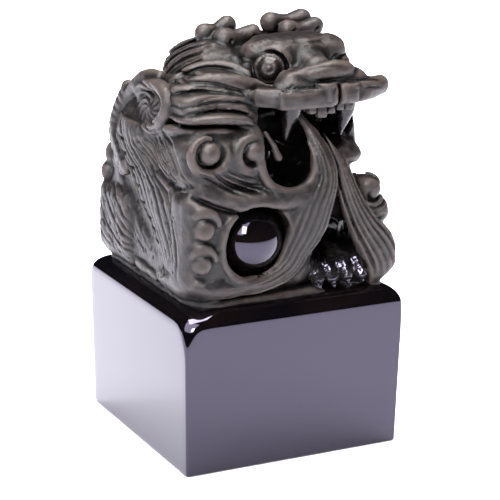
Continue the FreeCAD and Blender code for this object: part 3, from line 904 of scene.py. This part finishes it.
def jaw_lines():
    return grooves(1, below(-19.5), (0.35, 0.65, [(-21.4, 76), (-18.2, 73.2), (-12.8, 70.4), (-8.3, 69.6)]),
        (0.3, 0.55, [(-19.2, 75.6), (-15.6, 73.4), (-11, 71.4), (-8, 71)]),
        (0.3, 0.5, [(-17.6, 76.2), (-14, 74.2), (-9.8, 72.6)]),
        (0.35, 0.5, [(-25.6, 76), (-21.6, 74), (-17.6, 71.2), (-12.4, 69)]),
        (0.55, 1, [(-27, 70.2), (-23.6, 68.6), (-19.9, 66.8), (-16.3, 65.6), (-11.6, 64.9), (-1.8, 64.5)]))


def finish_clay():
    """Cuts the carving back to the square column of the block, and makes it uneven by hand."""
    for mark in jaw_lines() + near_side_lines() + back_lines():
        clay.draw(mark)
    x, y, z = clay.axes(tuple(slice(0, int(n)) for n in clay.count))
    limit = 29.7 - np.clip((49.0 - z) / 6, 0, 1) ** 1.5 * 3.0
    corner = np.where((x < 0) & (y < 0), 8.5, 2.4)
    over = np.abs(x) - limit + corner, np.abs(y) - limit + corner
    sides = (np.hypot(np.maximum(over[0], 0), np.maximum(over[1], 0))
        + np.minimum(np.maximum(over[0], over[1]), 0) - corner)
    clay.whole = -soft_min(-clay.whole, -np.broadcast_to(sides, clay.whole.shape), 1.2)
    clay.roughen(6.0, 0.16, 11)
    clay.roughen(2.2, 0.12, 12)
    clay.roughen(1.0, 0.06, 13)


def cast():
    """Cuts the clay into its members and makes a mesh of each."""
    first = np.full(clay.count, CAP, np.float32)
    second = first.copy()
    for w, own in clay.members.values():
        a, b = first[w], second[w]
        second[w] = np.minimum(b, np.maximum(a, own))
        first[w] = np.minimum(a, own)
    solid = np.clip(0.5 - clay.whole / clay.step, 0, 1).astype(np.float32)
    fine, broad = blur(solid, max(1, round(0.9 / STEP))), blur(solid, round(3.2 / STEP))
    pieces = {}
    for name, (w, own) in clay.members.items():
        mine = own <= first[w]
        rival = np.where(mine, second[w], first[w])
        border = (own - rival) / 2
        field = np.maximum(clay.whole[w] + 0.6 * np.clip(border, 0, 1), border - 1.2 * STEP)
        verts, quads = without_crumbs(*skin(field), 60)
        start = np.array([s.start for s in w])
        verts, faces = thinned(verts, quads, sample(clay.whole, verts + start) < THIN_DEPTH)
        piece = make_object(name, clay.low + (verts + start) * clay.step, faces)
        # hollow and shelter measure how enclosed each point is; the stone material paints shade from them
        for key, grid in (("hollow", fine), ("shelter", broad), ("bare", clay.bare)):
            layer = piece.data.attributes.new(key, "FLOAT", "POINT")
            layer.data.foreach_set("value", sample(grid, verts + start).astype(np.float32))
        pieces[name] = piece
    return pieces


# ---- polished pieces
def polished_block():
    """The block: square outlines stacked up. Its top edges roll over, most of all at the corners."""
    top_r, foot_r, corner_depth = 4.6, 0.7, 13.0
    levels = [(foot_r - foot_r * math.sin(t), foot_r - foot_r * math.cos(t))
        for t in np.radians(np.linspace(0, 90, 6))]
    levels += [(0.0, z) for z in np.linspace(foot_r, BLOCK_TOP - top_r, 44)[1:-1]]
    levels += [(top_r - top_r * math.cos(t), BLOCK_TOP - top_r + top_r * math.sin(t))
        for t in np.radians(np.linspace(0, 90, 22))]
    rings = []
    for inset, z in levels:
        rise = np.clip((z - (BLOCK_TOP - corner_depth)) / corner_depth, 0, 1)
        half = HALF - 0.3 + 0.8 * z / BLOCK_TOP - inset
        rings.append(outline(half, [0.6 + growth * rise ** 2.2 for growth in (1.6, 1.6, 8.5, 1.6)], z))
    last = rings[-1]
    rings += [last * (share, share, 1) for share in (0.85, 0.6, 0.3)]
    verts = np.concatenate(rings)
    n = len(last)
    faces = []
    for a in range(0, len(verts) - n, n):
        for i in range(n):
            j = (i + 1) % n
            faces.append([a + i, a + j, a + n + j, a + n + i])
    faces.append(list(range(n))[::-1])
    faces.append(list(range(len(verts) - n, len(verts))))
    return make_object("block", verts, faces)


def outline(half, radii, z):
    """Points round a square with a radius for each rounded corner, at height z."""
    points = []
    for corner, r in enumerate(radii):
        following = radii[(corner + 1) % 4]
        turn = math.pi / 2 * corner
        for t in np.linspace(0, math.pi / 2, 14):
            points.append((half - r + r * math.cos(t), half - r + r * math.sin(t), turn))
        for share in np.linspace(0, 1, 26)[1:-1]:
            points.append((half - r - (2 * half - r - following) * share, half, turn))
    return np.array([(x * math.cos(t) - y * math.sin(t), x * math.sin(t) + y * math.cos(t), z)
        for x, y, t in points])


def polished_ball():
    """The ball, a sphere from a cube's faces so that its mesh is even."""
    n = 24
    t = np.tan(np.linspace(-1, 1, 2 * n + 1) * math.pi / 4)
    verts, faces, seen = [], [], {}
    for axis in range(3):
        for side in (-1, 1):
            for i in range(2 * n):
                for j in range(2 * n):
                    ring = []
                    for a, b in ((i, j), (i + 1, j), (i + 1, j + 1), (i, j + 1)):
                        u = [0, 0, 0]
                        u[axis], u[(axis + 1) % 3], u[(axis + 2) % 3] = side, t[a], t[b]
                        key = tuple(round(c, 6) for c in u)
                        if key not in seen:
                            seen[key] = len(verts)
                            verts.append(BALL_AT + np.array(u) / np.linalg.norm(u) * BALL_R)
                        ring.append(seen[key])
                    faces.append(ring if side > 0 else ring[::-1])
    return make_object("ball", verts, faces)


# ---- materials
def material(name):
    """A new material, with its tree and its main shader."""
    mat = bpy.data.materials.new(name)
    mat.use_nodes = True
    return mat, mat.node_tree, mat.node_tree.nodes["Principled BSDF"]


def node(tree, kind, **values):
    """A shader node, with values for its own settings and for its sockets."""
    n = tree.nodes.new(kind)
    for key, value in values.items():
        if hasattr(n, key):
            setattr(n, key, value)
        else:
            n.inputs[key.replace("_", " ")].default_value = value
    return n


def texture(tree, kind="ShaderNodeTexNoise", **values):
    """A pattern that is fixed to the piece."""
    n = node(tree, kind, **values)
    tree.links.new(node(tree, "ShaderNodeTexCoord").outputs["Object"], n.inputs["Vector"])
    return n


def ramp(tree, source, *stops):
    """Colours at rising positions along a value."""
    n = node(tree, "ShaderNodeValToRGB")
    tree.links.new(source, n.inputs["Fac"])
    spots = n.color_ramp.elements
    for i, (position, colour) in enumerate(stops):
        spot = spots[i] if i < len(spots) else spots.new(position)
        spot.position, spot.color = position, (*colour, 1)
    return n.outputs["Color"]


def mix(tree, share, first, second, **settings):
    """Two colours mixed; each value is a socket to link or a constant."""
    n = node(tree, "ShaderNodeMix", data_type="RGBA", **settings)
    for i, value in ((0, share), (6, first), (7, second)):
        if isinstance(value, bpy.types.NodeSocket):
            tree.links.new(value, n.inputs[i])
        else:
            n.inputs[i].default_value = value
    return n.outputs[2]


def stone():
    """Matt carved stone: painted shade makes the hollows and deep recesses dark, and ridges rubbed by
    handling are paler.
    """
    mat, tree, bsdf = material("carved_stone")
    link = tree.links.new
    hollow, shelter, bare = (node(tree, "ShaderNodeAttribute", attribute_name=name).outputs["Fac"]
        for name in ("hollow", "shelter", "bare"))
    mottle = texture(tree, Scale=90.0, Detail=6.0, Roughness=0.65).outputs["Fac"]
    grain = texture(tree, Scale=1400.0, Detail=3.0).outputs["Fac"]
    # painted shade: the colour goes almost black in creases and hollows, and is paler on open ridges for
    # wear
    wear_and_crease_shade = node(tree, "ShaderNodeMapRange", From_Min=0.58, From_Max=0.40)
    link(hollow, wear_and_crease_shade.inputs["Value"])
    tone = ramp(tree, wear_and_crease_shade.outputs["Result"], (0.0, (0.0006, 0.0005, 0.0005)),
        (0.5, (0.0065, 0.0055, 0.0053)), (1.0, (0.036, 0.030, 0.028)))
    spread = ramp(tree, mottle, (0.3, (0.62, 0.6, 0.66)), (0.7, (1.25, 1.12, 1.0)))
    tint = mix(tree, 0.8, tone, spread, blend_type="MULTIPLY")
    # painted shade: the colour is darkened where the stone is enclosed, deep in recesses and between parts
    deep = node(tree, "ShaderNodeMapRange", From_Min=0.52, From_Max=0.74, To_Min=1.0, To_Max=0.1)
    link(shelter, deep.inputs["Value"])
    shade = mix(tree, 1.0, tint, deep.outputs["Result"], blend_type="MULTIPLY")
    link(mix(tree, bare, shade, (0.0015, 0.0013, 0.0015, 1)), bsdf.inputs["Base Color"])
    rough = node(tree, "ShaderNodeMapRange", To_Min=0.33, To_Max=0.60)
    link(grain, rough.inputs["Value"])
    glaze = node(tree, "ShaderNodeMix", data_type="FLOAT")
    glaze.inputs[3].default_value = 0.12
    link(bare, glaze.inputs[0])
    link(rough.outputs["Result"], glaze.inputs[2])
    link(glaze.outputs[0], bsdf.inputs["Roughness"])
    bsdf.inputs["Specular IOR Level"].default_value = 0.27
    bump = node(tree, "ShaderNodeBump", Strength=0.55, Distance=0.0002)
    link(grain, bump.inputs["Height"])
    link(bump.outputs["Normal"], bsdf.inputs["Normal"])
    return mat


def glassy(name, streaks):
    """The same stone polished like black glass."""
    mat, tree, bsdf = material(name)
    link = tree.links.new
    stretch = texture(tree, "ShaderNodeMapping")
    stretch.inputs["Scale"].default_value = (1.0, 1.0, 3.5)
    cloud = node(tree, "ShaderNodeTexNoise", Scale=35.0, Detail=5.0, Distortion=0.6)
    link(stretch.outputs["Vector"], cloud.inputs["Vector"])
    tone = ramp(tree, cloud.outputs["Fac"], (0.35, (0.0008, 0.0007, 0.0012)), (0.75, streaks))
    link(tone, bsdf.inputs["Base Color"])
    bsdf.inputs["Roughness"].default_value = 0.03
    bsdf.inputs["IOR"].default_value = 1.5
    bsdf.inputs["Specular Tint"].default_value = (0.80, 0.74, 1.0, 1)
    return mat


def chipped():
    """Stone left rough from chipping but glossy, with hard small facets."""
    mat = glassy("chipped_stone", (0.02, 0.018, 0.017))
    tree = mat.node_tree
    bsdf = tree.nodes["Principled BSDF"]
    facets = texture(tree, "ShaderNodeTexVoronoi", Scale=900.0)
    bump = node(tree, "ShaderNodeBump", Strength=0.7, Distance=0.0004)
    tree.links.new(facets.outputs["Distance"], bump.inputs["Height"])
    tree.links.new(bump.outputs["Normal"], bsdf.inputs["Normal"])
    bsdf.inputs["Roughness"].default_value = 0.16
    return mat


# ---- camera, light and floor
def camera():
    target = Vector((1.97, 0, 46.87)) * UNIT
    azimuth, elevation, lean = map(math.radians, (-26.86, 16.2, 0.74))
    distance = 501.5 * UNIT
    level = math.cos(elevation)
    back = Vector((math.sin(azimuth) * level, -math.cos(azimuth) * level, math.sin(elevation)))
    data = bpy.data.cameras.new("camera")
    data.sensor_width = 36
    data.lens = 139.2
    data.clip_start = 0.01
    data.clip_end = 20
    cam = placed("camera", data)
    turn = back.to_track_quat("Z", "Y").to_matrix().to_4x4() @ Matrix.Rotation(lean, 4, "Z")
    cam.matrix_world = Matrix.Translation(target + back * distance) @ turn
    bpy.context.scene.camera = cam


def lamp(name, at, to, size, power, colour=(1, 1, 1), seen=True, lights=True):
    """A panel of light. It can be left out of reflections, or be nothing but a reflection."""
    data = bpy.data.lights.new(name, "AREA")
    data.shape = "RECTANGLE"
    data.size, data.size_y = size
    data.energy = power
    data.color = colour
    panel = placed(name, data)
    panel.visible_glossy = seen
    panel.visible_diffuse = lights
    panel.location = at
    panel.rotation_euler = (Vector(to) - Vector(at)).to_track_quat("-Z", "Y").to_euler()


def studio():
    size = 3.0
    mesh = bpy.data.meshes.new("floor")
    mesh.from_pydata([(-size, -size, 0), (size, -size, 0), (size, size, 0), (-size, size, 0)], [],
        [(0, 1, 2, 3)])
    floor = placed("floor", mesh)
    mat, tree, bsdf = material("floor")
    cloud = texture(tree, Scale=1.5)
    tone = ramp(tree, cloud.outputs["Fac"], (0, (0.86, 0.85, 0.93)), (1, (0.90, 0.89, 0.96)))
    tree.links.new(tone, bsdf.inputs["Base Color"])
    bsdf.inputs["Roughness"].default_value = 0.9
    mesh.materials.append(mat)
    world = bpy.data.worlds.new("room")
    world.use_nodes = True
    colour, strength = world.node_tree.nodes["Background"].inputs[:2]
    colour.default_value = (0.9, 0.92, 1.0, 1)
    strength.default_value = 0.03
    bpy.context.scene.world = world
    lamp("key", (-0.75, -0.85, 0.95), (0, 0, 0.06), (0.34, 0.6), 33)
    lamp("window", (-0.78, -0.30, 0.98), (0, 0, 0.06), (1.1, 1.2), 30, (0.95, 0.95, 1.0), lights=False)
    lamp("sky", (-0.10, 0.05, 1.3), (0, 0, 0.06), (0.45, 0.9), 32, (1.0, 0.97, 0.95), lights=False)
    lamp("top", (0.15, 0.25, 1.3), (0, 0, 0.05), (1.0, 1.0), 92, seen=False)
    lamp("fill", (0.9, -0.5, 0.5), (0, 0, 0.06), (0.5, 0.5), 5, seen=False)
    lamp("side", (-1.0, 0.55, 0.5), (0, 0, 0.07), (0.4, 0.5), 8, (0.86, 0.84, 1.0), seen=False)
    bpy.context.scene.view_settings.view_transform = "Standard"


body()
haunches()
shoulders()
right_side()
mane()
head()
mouth()
ribbons()
lips()
face()
left_side()
finish_clay()
pieces = cast()

carved = stone()
polished = glassy("polished_stone", (0.0035, 0.0020, 0.0016))
rough = chipped()
for name, piece in pieces.items():
    piece.data.materials.append(rough if name == "claws_left" else carved)
polished_block().data.materials.append(polished)
polished_ball().data.materials.append(polished)

camera()
studio()
